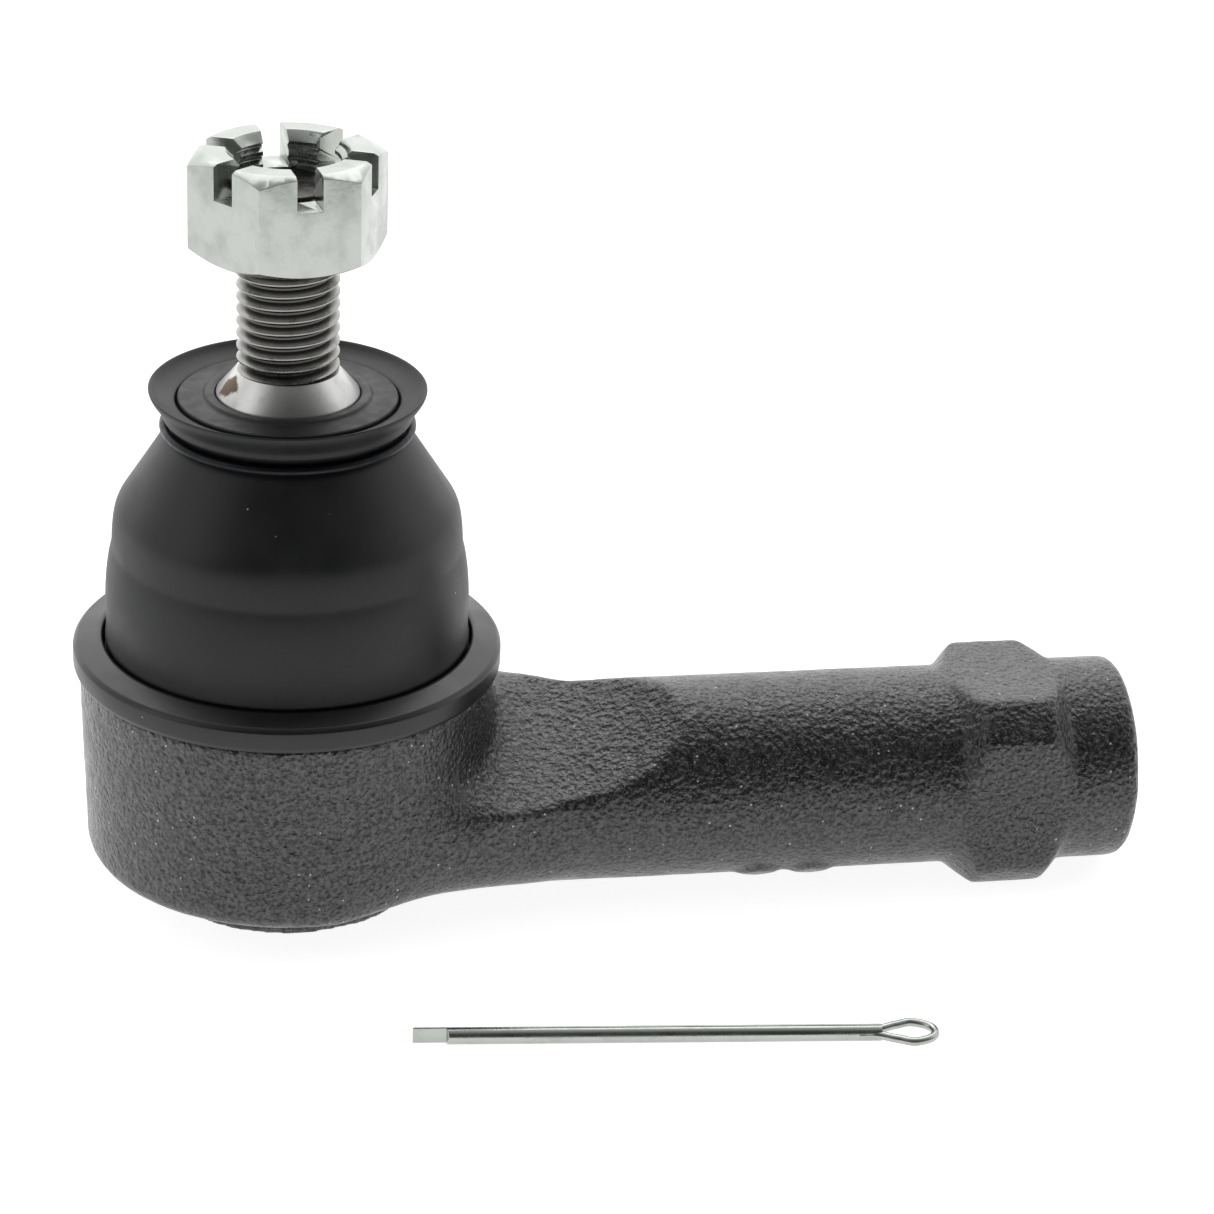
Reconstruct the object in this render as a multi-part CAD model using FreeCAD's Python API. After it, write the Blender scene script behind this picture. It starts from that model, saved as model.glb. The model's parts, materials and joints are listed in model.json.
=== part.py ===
"""Tie rod end: forged housing with a ball stud, dust boot, slotted nut and split pin.

Frame: millimetres, +Z up the stud, +X along the shank to its threaded end.
The origin is on the stud's axis, at the flat rim under the housing that the part rests on.
"""
import FreeCAD, Part
import math
import os

V = FreeCAD.Vector
UP = V(0, 0, 1)
ALONG = V(1, 0, 0)

# ---- clearances ----
RUNNING_GAP = 0.06        # ball in its seats, radial
PRESS_GAP = 0.0           # seats, cover and ring are pressed in, face to face
SOFT_GAP = 0.25           # rubber to the pieces that move past it
THREAD_GAP = 0.08         # nut bore to the stud's thread crests
MOUTH_GAP = 0.68          # housing's mouth outside the upper bearing's lip

# ---- ball stud ----
BALL_R = 10.0
NECK_R = 5.3
FLARE_H = 3.7             # neck to taper
TAPER_TOP_R = 7.0         # small end of the 1:8 taper
TAPER_LENGTH = 14.0
TAPER_RATE = 1 / 8        # change of diameter over length
TAPER_SHOWS = 0.2         # taper left above the seal ring
CONE_H = 2.6              # steep cone between taper and thread
THREAD_R = 5.0            # M10 x 1.25, crest radius
THREAD_LENGTH = 18.7
THREAD_CHAMFER = 0.8
PIN_HOLE_R = 1.25
PIN_HOLE_DOWN = 4.2       # hole centre below the stud's end

# ---- socket stack, from the rest face upwards ----
CRIMP_LIP_H = 1.0         # rim rolled in under the cover
CRIMP_LIP_W = 1.46        # how far it reaches in
COVER_T = 1.8
COVER_SLOPE = 1.5         # width of the slope between the cover's dish and its edge
SPRING_H = 1.5
SPRING_T = 0.7
SEAT_FLOOR = 1.4          # bearing thickness under the ball
SEAT_WALL = 2.0
SEAT_SPLIT = 0.15         # half the gap between upper and lower bearing
SEAT_LIP_H = 0.58 * BALL_R    # top of the upper bearing above the ball's centre

# ---- housing head ----
RIM_WALL = 1.5            # rim outside the bore
RIM_H = 3.6
HEAD_R_TOP = 20.7
HEAD_DRAFT = 0.5          # the head's side is this much smaller at the bottom
HEAD_ROUND = 2.2          # bottom edge
HEAD_ROOF = 2.44          # from the upper bearing to the head's top face
SPIGOT_H = 2.2
MOUTH_R_TOP = 11.5        # opening that the stud swings in

# ---- arm and shank ----
SHANK_R = 10.2
SHANK_SIDE = -3.0         # the shank's axis lies to one side of the stud
ROOT_X = 6.0              # the arm widens into the head, from a rounded oblong here
ROOT_HALF_W = 17.6
ROOT_LOW_Z = RIM_H + 0.5
ROOT_HIGH_Z = 20.0
ROOT_SIDE = -1.7
ROOT_ROUND = 4.5
ROOT_END_X = 30.0         # to a rounded square inside the shank here
ROOT_END_IN = 1.0         # the square's sides lie this far inside the shank
ROOT_END_ROUND = 0.8 * (SHANK_R - ROOT_END_IN)
SHANK_START_X = 20.0
SHANK_END_X = 86.0
COLLAR_PROUD = 0.2
COLLAR_CHAMFER = 0.8
BOSS_PROUD = 0.2          # the boss's flats outside the shank
BOSS_ROUND = 2.8
BOSS_X = 73.2
BOSS_L = 11.6
BOSS_END_SLOPE = 2.2
BOSS_CORNER_PROUD = 2.4   # limit of the boss's corners after its ends are sloped
SCOOP_R = 24.5            # hollow cut across the arm's upper front
SCOOP_X = 25.0
SCOOP_LEFT = 0.57 * SHANK_R   # what is left between the shank's axis and the hollow
SCOOP_TILT = 70.0         # degrees that the hollow faces up from level
SCOOP_SKEW = 4.0          # degrees that it runs askew over the arm
PAD_R = 1.9
PAD_PROUD = 0.35
PAD_LOW = 55.0            # degrees below level that the pads face
PAD_XS = (47.4, 52.9)
ROD_THREAD_R = 6.188      # minor radius of M14 x 1.5
ROD_THREAD_NOMINAL_R = 7.0
ROD_THREAD_LENGTH = 40.0
DRILL_POINT = 118.0       # included angle in degrees

# ---- boot, its ring, seal ring and clip; heights above the head's top face ----
RING_PROUD = 0.6          # ring outside the head
RING_DRAFT = 0.3
RING_EDGE = 0.4
RING_T = 3.3
RING_FALL = 0.7           # its top face slopes down outwards by this
RING_WALL = 3.0           # outside the recess for the boot's foot
RING_SEAT_T = 1.7         # ring's thickness under the foot
FOOT_SIDE_GAP = 0.3
FOOT_T = 1.9
FOOT_EDGE = 0.6
FOOT_OVERLAP = 1.9        # foot's rim outside the spigot
FOOT_INNER_OVERLAP = 1.0  # foot's inner edge inside the spigot
BOOT_WALL = 1.7
BELLY_OUT = 0.1           # belly outside the foot
BELLY_H = 7.5
BELLY_TOP_IN = 0.7        # where the side starts to lean in
BELLY_TOP_H = 13.5
TURN_IN = 0.9             # middle of the bend into the shoulder
TURN_H = 16.0
SHOULDER_IN = 1.5
SHOULDER_H = 17.8
SEAL_R = 10.75
SEAL_TOP_H = 28.5
SEAL_RING_H = 4.6
SEAL_COLLAR_W = 0.7       # wall of the collar round the taper
SEAL_COLLAR_H = 0.4
SEAL_COLLAR_EDGE = 0.3
NECK_WALL = 0.5           # boot's neck between the seal ring and the clip groove
GROOVE_H = 24.9
GROOVE_W = 1.1
GROOVE_EDGE = 0.6
LIP_OVERHANG = 2.1        # lip's rim outside the groove
LIP_H = 29.4
LIP_T = 0.8
LIP_EDGE = 0.3
LIP_FLAT = 1.0
CLIP_WIRE_R = 0.45
CLIP_GAP = 0.1

# ---- slotted nut ----
NUT_FLATS = 17.0
NUT_UP_THREAD = 12.0      # from the foot of the thread to the nut
NUT_H = 10.15
NUT_TURN = -111.5         # direction of one corner, degrees from the shank
NUT_CHAMFER = 30.0        # degrees
NUT_FACE_IN = 0.4         # flat ring's edge inside the hexagon's flats
SLOT_W = 2.5
SLOT_DEPTH = 3.5
NUT_COUNTERSINK = 0.9

# ---- split pin, lying loose ----
PIN_R = 0.85
PIN_SPLIT = 0.12          # gap between the two legs
PIN_LONG = 45.1
PIN_SHORT_BY = 3.3
PIN_EYE_L = 5.6
PIN_EYE_W = 4.3
PIN_WIRE_R = 0.42
PIN_EYE_NECK = 1.4        # length of the wire where it joins the legs
PIN_EYE_AT = V(53.3, -39.7, 0)
PIN_TURN = -5.3


def on_ball(radius, height):
    """Distance from the axis of a sphere's surface, at a height from its centre."""
    return math.sqrt(radius ** 2 - height ** 2)


# ---- derived places ----
COVER_Z = CRIMP_LIP_H
COVER_DISH = CRIMP_LIP_H  # the cover's middle comes down level with the rim
SPRING_Z = COVER_Z + COVER_T
SEAT_Z = SPRING_Z + SPRING_H
SEAT_BALL_R = BALL_R + RUNNING_GAP
BALL_Z = SEAT_Z + SEAT_FLOOR + SEAT_BALL_R
SEAT_R = SEAT_BALL_R + SEAT_WALL
BORE_R = SEAT_R + PRESS_GAP
CRIMP_LIP_R = BORE_R - CRIMP_LIP_W
RIM_R = BORE_R + RIM_WALL
SEAT_TOP_Z = BALL_Z + SEAT_LIP_H
MOUTH_R_LOW = on_ball(SEAT_BALL_R, SEAT_LIP_H) + MOUTH_GAP
HEAD_R_LOW = HEAD_R_TOP - HEAD_DRAFT
HEAD_TOP_Z = SEAT_TOP_Z + HEAD_ROOF
SPIGOT_TOP_Z = HEAD_TOP_Z + SPIGOT_H
BOSS_FLATS = 2 * (SHANK_R + BOSS_PROUD)
BOSS_CORNER_R = SHANK_R + BOSS_CORNER_PROUD
COLLAR_R = SHANK_R + COLLAR_PROUD
SHANK_Z = BOSS_FLATS / 2
RING_R = HEAD_R_TOP + RING_PROUD
RING_SEAT_R = RING_R - RING_WALL
FOOT_R = RING_SEAT_R - FOOT_SIDE_GAP
SPIGOT_R = FOOT_R - FOOT_OVERLAP
FOOT_INNER_R = SPIGOT_R - FOOT_INNER_OVERLAP
FOOT_Z = HEAD_TOP_Z + RING_SEAT_T + SOFT_GAP
GROOVE_R = SEAL_R + SOFT_GAP + NECK_WALL
GROOVE_Z = HEAD_TOP_Z + GROOVE_H
LIP_R = GROOVE_R + LIP_OVERHANG
LIP_Z = HEAD_TOP_Z + LIP_H
SEAL_TOP_Z = HEAD_TOP_Z + SEAL_TOP_H
SEAL_Z = SEAL_TOP_Z - SEAL_RING_H
TAPER_Z = SEAL_TOP_Z + TAPER_SHOWS - TAPER_LENGTH
TAPER_LOW_R = TAPER_TOP_R + TAPER_LENGTH * TAPER_RATE / 2
SEAL_BORE_R = TAPER_TOP_R + (TAPER_Z + TAPER_LENGTH - SEAL_Z) * TAPER_RATE / 2 + SOFT_GAP
SEAL_COLLAR_R = SEAL_BORE_R + SEAL_COLLAR_W
THREAD_Z = TAPER_Z + TAPER_LENGTH + CONE_H
STUD_END_Z = THREAD_Z + THREAD_LENGTH
NUT_Z = THREAD_Z + NUT_UP_THREAD


def profile(start, *moves):
    """Closed outline in the XZ plane: a move is a point, or (through, to) for an arc."""
    edges = []
    first = V(start[0], 0, start[1])
    here = first
    for move in moves:
        if isinstance(move[0], tuple):
            through = V(move[0][0], 0, move[0][1])
            there = V(move[1][0], 0, move[1][1])
            edges.append(Part.Arc(here, through, there).toShape())
        else:
            there = V(move[0], 0, move[1])
            edges.append(Part.makeLine(here, there))
        here = there
    if not here.isEqual(first, 1e-6):
        edges.append(Part.makeLine(here, first))
    return Part.Wire(edges)


def turned(start, *moves):
    """Solid of revolution about Z from an outline of (radius, height) points."""
    return Part.Face(profile(start, *moves)).revolve(V(0, 0, 0), UP, 360)


def one_solid(shape):
    """The single solid in a shape, with its seams cleaned."""
    clean = shape.removeSplitter()
    if len(clean.Solids) != 1:
        raise ValueError("expected one solid, got %d" % len(clean.Solids))
    return clean.Solids[0]


def along_shank(solid):
    """Moves a shape made about Z at the origin onto the shank's axis, Z becoming X."""
    solid.rotate(V(0, 0, 0), V(0, 1, 0), 90)
    solid.translate(V(0, SHANK_SIDE, SHANK_Z))
    return solid


def head():
    """Round head with its bottom rim, rounded lower edge and the boot ring's spigot."""
    bend = HEAD_ROUND * (1 - math.sqrt(0.5))
    return turned(
        (0, 0), (RIM_R, 0), (RIM_R, RIM_H), (HEAD_R_LOW - HEAD_ROUND, RIM_H),
        ((HEAD_R_LOW - bend, RIM_H + bend), (HEAD_R_LOW, RIM_H + HEAD_ROUND)),
        (HEAD_R_TOP, HEAD_TOP_Z), (SPIGOT_R, HEAD_TOP_Z),
        (SPIGOT_R, SPIGOT_TOP_Z), (0, SPIGOT_TOP_Z))


def socket():
    """Space for the bearing stack, open at the bottom, and the mouth the stud swings in."""
    return turned(
        (0, -1), (CRIMP_LIP_R, -1), (CRIMP_LIP_R, CRIMP_LIP_H), (BORE_R, CRIMP_LIP_H),
        (BORE_R, SEAT_TOP_Z), (MOUTH_R_LOW, SEAT_TOP_Z),
        (MOUTH_R_TOP, SPIGOT_TOP_Z), (MOUTH_R_TOP, SPIGOT_TOP_Z + 1), (0, SPIGOT_TOP_Z + 1))


def shank_body():
    """Round shank from inside the arm's root to the collar at the threaded end."""
    return along_shank(turned(
        (0, SHANK_START_X), (SHANK_R, SHANK_START_X), (SHANK_R, BOSS_X), (COLLAR_R, BOSS_X),
        (COLLAR_R, SHANK_END_X - COLLAR_CHAMFER), (COLLAR_R - COLLAR_CHAMFER, SHANK_END_X),
        (0, SHANK_END_X)))


def rounded_oblong(x, side, half_w, low, high, bend):
    """Closed outline across the arm at x: four straight sides and four rounded corners."""
    corners = ((1, 1), (-1, 1), (-1, -1), (1, -1))
    middle, half_h = (low + high) / 2, (high - low) / 2
    cut = bend * (1 - math.sqrt(0.5))
    starts, middles, ends = [], [], []
    for y, z in corners:
        along = V(x, side + y * (half_w - bend), middle + z * half_h)
        across = V(x, side + y * half_w, middle + z * (half_h - bend))
        first, last = (across, along) if y * z > 0 else (along, across)
        starts.append(first)
        middles.append(V(x, side + y * (half_w - cut), middle + z * (half_h - cut)))
        ends.append(last)
    edges = []
    for i in range(4):
        edges.append(Part.Arc(starts[i], middles[i], ends[i]).toShape())
        edges.append(Part.makeLine(ends[i], starts[(i + 1) % 4]))
    return Part.Wire(edges)


def arm_root():
    """Arm's wide root: an oblong inside the head drawn in to a square inside the shank."""
    end_half = SHANK_R - ROOT_END_IN
    return Part.makeLoft([
        rounded_oblong(ROOT_X, ROOT_SIDE, ROOT_HALF_W, ROOT_LOW_Z, ROOT_HIGH_Z, ROOT_ROUND),
        rounded_oblong(ROOT_END_X, SHANK_SIDE, end_half, SHANK_Z - end_half,
                       SHANK_Z + end_half, ROOT_END_ROUND)], True, True)


def scoop():
    """Cutter for the saddle-shaped hollow over the arm's upper front."""
    long = 6 * SHANK_R
    cutter = Part.makeCylinder(SCOOP_R, long, V(0, 0, -long / 2), UP)
    cutter.translate(V(0, SCOOP_LEFT + SCOOP_R, 0))
    cutter.rotate(V(0, 0, 0), V(0, 1, 0), SCOOP_SKEW)
    cutter.rotate(V(0, 0, 0), ALONG, 180 - SCOOP_TILT)
    cutter.translate(V(SCOOP_X, SHANK_SIDE, SHANK_Z))
    return cutter


def boss():
    """Square wrench boss with rounded corners and sloping ends."""
    half = BOSS_FLATS / 2
    block = Part.makeBox(BOSS_L, BOSS_FLATS, BOSS_FLATS, V(BOSS_X - BOSS_L / 2, -half, -half))
    long_edges = [e for e in block.Edges if abs(e.tangentAt(e.FirstParameter).x) > 0.9]
    block = block.makeFillet(BOSS_ROUND, long_edges)
    block.translate(V(0, SHANK_SIDE, SHANK_Z))
    start = BOSS_X - BOSS_L / 2
    end = BOSS_X + BOSS_L / 2
    slopes = along_shank(turned(
        (0, start), (SHANK_R, start), (BOSS_CORNER_R, start + BOSS_END_SLOPE),
        (BOSS_CORNER_R, end - BOSS_END_SLOPE), (SHANK_R, end), (0, end)))
    return block.common(slopes)


def pads():
    """Two small forged pads low on the shank's front."""
    found = []
    for x in PAD_XS:
        pad = Part.makeCylinder(PAD_R, SHANK_R + PAD_PROUD, V(0, 0, 0), V(0, -1, 0))
        pad.rotate(V(0, 0, 0), ALONG, PAD_LOW)
        pad.translate(V(x, SHANK_SIDE, SHANK_Z))
        found.append(pad)
    return found


def rod_bore():
    """Threaded hole for the tie rod, at its minor diameter, with a drill point."""
    point = ROD_THREAD_R / math.tan(math.radians(DRILL_POINT / 2))
    bottom = SHANK_END_X - ROD_THREAD_LENGTH
    chamfer = ROD_THREAD_NOMINAL_R - ROD_THREAD_R
    return along_shank(turned(
        (0, bottom - point), (ROD_THREAD_R, bottom), (ROD_THREAD_R, SHANK_END_X - chamfer),
        (ROD_THREAD_NOMINAL_R, SHANK_END_X), (ROD_THREAD_NOMINAL_R, SHANK_END_X + 1),
        (0, SHANK_END_X + 1)))


def housing():
    """Forged head, arm, shank, boss and collar in one piece."""
    arm = shank_body().fuse(arm_root()).cut(scoop())
    arm = arm.fuse([boss()] + pads())
    return one_solid(arm.fuse(head()).cut(socket()).cut(rod_bore()))


def ball_stud():
    """Ball, neck, taper, steep cone and threaded end with a cross hole."""
    neck_z = BALL_Z + on_ball(BALL_R, NECK_R)
    stud = turned(
        (0, BALL_Z - BALL_R), ((BALL_R, BALL_Z), (NECK_R, neck_z)),
        (NECK_R, TAPER_Z - FLARE_H), (TAPER_LOW_R, TAPER_Z),
        (TAPER_TOP_R, TAPER_Z + TAPER_LENGTH),
        (THREAD_R, THREAD_Z), (THREAD_R, STUD_END_Z - THREAD_CHAMFER),
        (THREAD_R - THREAD_CHAMFER, STUD_END_Z), (0, STUD_END_Z))
    hole = Part.makeCylinder(PIN_HOLE_R, 4 * THREAD_R, V(-2 * THREAD_R, 0, 0), ALONG)
    hole.rotate(V(0, 0, 0), UP, NUT_TURN + 30)
    hole.translate(V(0, 0, STUD_END_Z - PIN_HOLE_DOWN))
    return one_solid(stud.cut(hole))


def upper_seat():
    """Plastic bearing over the upper half of the ball."""
    mid_h = SEAT_LIP_H / 2
    return turned(
        (on_ball(SEAT_BALL_R, SEAT_SPLIT), BALL_Z + SEAT_SPLIT),
        (SEAT_R, BALL_Z + SEAT_SPLIT), (SEAT_R, SEAT_TOP_Z), (MOUTH_R_LOW, SEAT_TOP_Z),
        (MOUTH_R_LOW, BALL_Z + on_ball(SEAT_BALL_R, MOUTH_R_LOW)),
        ((on_ball(SEAT_BALL_R, mid_h), BALL_Z + mid_h),
         (on_ball(SEAT_BALL_R, SEAT_SPLIT), BALL_Z + SEAT_SPLIT)))


def lower_seat():
    """Plastic bearing cup under the ball."""
    hole_r = BALL_R / 4
    mid = SEAT_BALL_R * math.sqrt(0.5)
    return turned(
        (hole_r, SEAT_Z), (SEAT_R, SEAT_Z), (SEAT_R, BALL_Z - SEAT_SPLIT),
        (on_ball(SEAT_BALL_R, SEAT_SPLIT), BALL_Z - SEAT_SPLIT),
        ((mid, BALL_Z - mid), (hole_r, BALL_Z - on_ball(SEAT_BALL_R, hole_r))))


def preload_spring():
    """Dished spring washer that presses the bearings onto the ball."""
    inner_r = BALL_R / 2
    outer_r = BORE_R - SOFT_GAP
    return turned(
        (inner_r, SPRING_Z + SPRING_H - SPRING_T), (outer_r, SPRING_Z),
        (outer_r, SPRING_Z + SPRING_T), (inner_r, SPRING_Z + SPRING_H))


def end_cover():
    """Dished steel cover held by the rolled rim."""
    flat_r = CRIMP_LIP_R - COVER_SLOPE
    dish_r = flat_r - COVER_SLOPE
    top = COVER_Z + COVER_T
    return turned(
        (0, COVER_Z - COVER_DISH), (dish_r, COVER_Z - COVER_DISH), (flat_r, COVER_Z),
        (BORE_R, COVER_Z), (BORE_R, top), (flat_r, top),
        (dish_r, top - COVER_DISH), (0, top - COVER_DISH))


def boot_ring():
    """Ring pressed on the head's spigot, with a recess for the boot's foot."""
    top = HEAD_TOP_Z + RING_T
    seat = HEAD_TOP_Z + RING_SEAT_T
    return turned(
        (SPIGOT_R + PRESS_GAP, HEAD_TOP_Z), (RING_R - RING_DRAFT, HEAD_TOP_Z),
        (RING_R, HEAD_TOP_Z + RING_EDGE), (RING_R, top - RING_FALL - RING_EDGE),
        (RING_R - RING_EDGE, top - RING_FALL),
        (RING_SEAT_R, top), (RING_SEAT_R, seat), (SPIGOT_R + PRESS_GAP, seat))


def boot_outside():
    """Outline of the boot's outer face, from the foot's rim up to the lip."""
    return [
        ((FOOT_R + BELLY_OUT, HEAD_TOP_Z + BELLY_H),
         (FOOT_R - BELLY_TOP_IN, HEAD_TOP_Z + BELLY_TOP_H)),
        ((FOOT_R - TURN_IN, HEAD_TOP_Z + TURN_H),
         (FOOT_R - SHOULDER_IN, HEAD_TOP_Z + SHOULDER_H)),
        (GROOVE_R + GROOVE_EDGE, GROOVE_Z - GROOVE_EDGE), (GROOVE_R, GROOVE_Z),
        (GROOVE_R, GROOVE_Z + GROOVE_W),
        (GROOVE_R + GROOVE_EDGE, GROOVE_Z + GROOVE_W + GROOVE_EDGE),
        (GROOVE_R + GROOVE_EDGE, GROOVE_Z + GROOVE_W + 2 * GROOVE_EDGE),
        (LIP_R - LIP_EDGE, LIP_Z - LIP_T), (LIP_R, LIP_Z)]


def boot_inside():
    """Outline of the boot's inner face, from the lip down to the foot."""
    neck = SEAL_R + SOFT_GAP
    belly = FOOT_R + BELLY_OUT - BOOT_WALL
    return [
        (LIP_R - LIP_FLAT, LIP_Z), (neck, SEAL_TOP_Z - GROOVE_EDGE),
        (neck, SEAL_Z - GROOVE_EDGE),
        (FOOT_R - SHOULDER_IN - BOOT_WALL, HEAD_TOP_Z + SHOULDER_H - BOOT_WALL / 2),
        ((belly, HEAD_TOP_Z + BELLY_H + BOOT_WALL), (belly - FOOT_EDGE, FOOT_Z + FOOT_T)),
        (FOOT_INNER_R, FOOT_Z + FOOT_T)]


def dust_boot():
    """Rubber boot: foot, belly, sloping shoulder, clip groove and flared lip."""
    foot = [(SPIGOT_R + FOOT_EDGE, FOOT_Z + FOOT_EDGE), (FOOT_R - FOOT_EDGE, FOOT_Z),
            (FOOT_R, FOOT_Z + FOOT_EDGE)]
    start = (FOOT_INNER_R, SPIGOT_TOP_Z + SOFT_GAP)
    return turned(start, *(foot + boot_outside() + boot_inside()))


def seal_ring():
    """Ring inside the boot's neck, with a raised collar round the taper."""
    return turned(
        (SEAL_BORE_R, SEAL_Z), (SEAL_R, SEAL_Z), (SEAL_R, SEAL_TOP_Z),
        (SEAL_COLLAR_R + SEAL_COLLAR_EDGE, SEAL_TOP_Z),
        (SEAL_COLLAR_R, SEAL_TOP_Z + SEAL_COLLAR_H),
        (SEAL_BORE_R, SEAL_TOP_Z + SEAL_COLLAR_H))


def boot_clip():
    """Round wire clip in the boot's groove."""
    centre = V(0, 0, GROOVE_Z + GROOVE_W / 2)
    return Part.makeTorus(GROOVE_R + CLIP_WIRE_R + CLIP_GAP, CLIP_WIRE_R, centre, UP)


def castle_nut():
    """Hexagon nut, chamfered at both ends, with six slots and a clearance bore."""
    corner_r = NUT_FLATS / math.sqrt(3)
    face_r = NUT_FLATS / 2 - NUT_FACE_IN
    corners = [V(corner_r * math.cos(a), corner_r * math.sin(a), 0)
               for a in (math.radians(60 * k) for k in range(7))]
    hexagon = Part.Face(Part.makePolygon(corners)).extrude(V(0, 0, NUT_H))
    drop = (corner_r - face_r) * math.tan(math.radians(NUT_CHAMFER))
    chamfers = turned(
        (0, 0), (face_r, 0), (corner_r + 0.01, drop), (corner_r + 0.01, NUT_H - drop),
        (face_r, NUT_H), (0, NUT_H))
    bore_r = THREAD_R + THREAD_GAP
    bore = turned(
        (0, -1), (bore_r + NUT_COUNTERSINK + 1, -1), (bore_r, NUT_COUNTERSINK),
        (bore_r, NUT_H - NUT_COUNTERSINK), (bore_r + NUT_COUNTERSINK + 1, NUT_H + 1),
        (0, NUT_H + 1))
    nut = hexagon.common(chamfers).cut(bore)
    for k in range(3):
        slot = Part.makeBox(3 * corner_r, SLOT_W, SLOT_DEPTH + 1,
                            V(-1.5 * corner_r, -SLOT_W / 2, NUT_H - SLOT_DEPTH))
        slot.rotate(V(0, 0, 0), UP, 30 + 60 * k)
        nut = nut.cut(slot)
    nut.rotate(V(0, 0, 0), UP, NUT_TURN)
    nut.translate(V(0, 0, NUT_Z))
    return one_solid(nut)


def pin_leg(length, side):
    """Half-round leg from the eye's neck, its flat facing the other leg."""
    leg = Part.makeCylinder(PIN_R, length, V(0, 0, 0), V(-1, 0, 0))
    away = Part.makeBox(length + 2, 4 * PIN_R, 4 * PIN_R,
                        V(-length - 1, -4 * PIN_R + side * PIN_SPLIT / 2, -2 * PIN_R))
    if side < 0:
        away.translate(V(0, 4 * PIN_R, 0))
    return leg.cut(away)


def wire_run(a, b):
    """Straight run of wire from a to b with a ball at b, so that bends are rounded."""
    run = Part.makeCylinder(PIN_WIRE_R, (b - a).Length, a, b - a)
    return [run, Part.makeSphere(PIN_WIRE_R, b)]


def pin_eye():
    """Pieces of the wire loop that joins the two legs."""
    bend_r = PIN_EYE_W / 2 - PIN_WIRE_R
    bend_x = PIN_EYE_L - PIN_EYE_W / 2
    neck_y = PIN_R / 2
    loop = Part.makeTorus(bend_r, PIN_WIRE_R, V(0, 0, 0), UP, -180, 180, 180)
    loop.rotate(V(0, 0, 0), UP, -90)
    loop.translate(V(bend_x, 0, 0))
    pieces = [loop]
    for side in (1, -1):
        pieces += wire_run(V(-PIN_EYE_NECK, side * neck_y, 0), V(0, side * neck_y, 0))
        pieces += wire_run(V(0, side * neck_y, 0), V(bend_x, side * bend_r, 0))
    return pieces


def cotter_pin():
    """Split pin lying flat beside the housing."""
    long_leg = pin_leg(PIN_LONG, 1)
    short_leg = pin_leg(PIN_LONG - PIN_SHORT_BY, -1)
    pin = one_solid(long_leg.fuse([short_leg] + pin_eye()))
    pin.rotate(V(0, 0, 0), UP, PIN_TURN)
    pin.translate(PIN_EYE_AT + V(0, 0, PIN_R))
    return pin


NODES = {
    "housing": housing, "ball_stud": ball_stud, "upper_seat": upper_seat,
    "lower_seat": lower_seat, "preload_spring": preload_spring, "end_cover": end_cover,
    "boot_ring": boot_ring, "dust_boot": dust_boot, "seal_ring": seal_ring,
    "boot_clip": boot_clip, "castle_nut": castle_nut, "cotter_pin": cotter_pin}

os.makedirs("parts", exist_ok=True)
for name, make in NODES.items():
    shape = make()
    if not shape.isValid():
        raise ValueError(name + " is not valid")
    box = shape.BoundBox
    print("%-15s vol %9.1f  x %7.2f %7.2f  y %7.2f %7.2f  z %7.2f %7.2f" % (
        name, shape.Volume, box.XMin, box.XMax, box.YMin, box.YMax, box.ZMin, box.ZMax))
    shape.exportStep("parts/%s.step" % name)
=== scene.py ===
"""Tie rod end: forged housing, ball stud, dust boot, slotted nut and split pin, in studio light.

Metres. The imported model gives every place: +Z up the stud, +X along the shank to its threaded end.
"""
import json
import math

import bmesh
import bpy
from mathutils import Matrix, Vector, noise

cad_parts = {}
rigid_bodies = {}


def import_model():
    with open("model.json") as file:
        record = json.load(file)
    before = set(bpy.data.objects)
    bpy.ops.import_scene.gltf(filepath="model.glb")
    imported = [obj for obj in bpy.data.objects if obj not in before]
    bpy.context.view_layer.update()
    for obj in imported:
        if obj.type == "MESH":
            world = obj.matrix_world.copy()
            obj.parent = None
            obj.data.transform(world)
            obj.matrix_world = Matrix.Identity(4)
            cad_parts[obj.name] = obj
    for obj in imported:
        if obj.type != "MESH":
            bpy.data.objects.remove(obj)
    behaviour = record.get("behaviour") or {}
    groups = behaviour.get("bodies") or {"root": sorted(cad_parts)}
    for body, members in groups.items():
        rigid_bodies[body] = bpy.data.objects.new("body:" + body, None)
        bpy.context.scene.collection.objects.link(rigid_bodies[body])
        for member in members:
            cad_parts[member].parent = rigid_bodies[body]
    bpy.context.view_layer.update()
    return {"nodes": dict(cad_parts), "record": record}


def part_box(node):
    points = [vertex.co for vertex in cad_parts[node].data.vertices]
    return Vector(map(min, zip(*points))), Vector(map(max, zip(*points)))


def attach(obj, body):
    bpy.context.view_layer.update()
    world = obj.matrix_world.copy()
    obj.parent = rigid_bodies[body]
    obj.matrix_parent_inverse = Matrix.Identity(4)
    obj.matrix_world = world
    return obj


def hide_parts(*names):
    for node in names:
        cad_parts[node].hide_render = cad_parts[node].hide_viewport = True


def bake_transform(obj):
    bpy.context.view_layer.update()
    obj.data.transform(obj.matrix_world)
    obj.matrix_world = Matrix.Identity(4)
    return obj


bl_info = {
    "name": "Tie rod end",
    "version": (1, 0, 0),
    "blender": (4, 5, 0),
    "location": "3D View > Sidebar > Tie rod end",
    "description": "Builds the looks of an outer tie rod end around its packed parts",
    "category": "Object",
}

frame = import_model()
MM = 0.001
FULL_SPIN = dict(cent=(0, 0, 0), axis=(0, 0, 1), angle=math.tau, dvec=(0, 0, 0), use_merge=True,
                 use_normal_flip=False, use_duplicate=False)
EDGE_BEVEL = dict(affect="EDGES", offset_type="OFFSET", profile=0.5, material=-1,
                  clamp_overlap=True)

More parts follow.
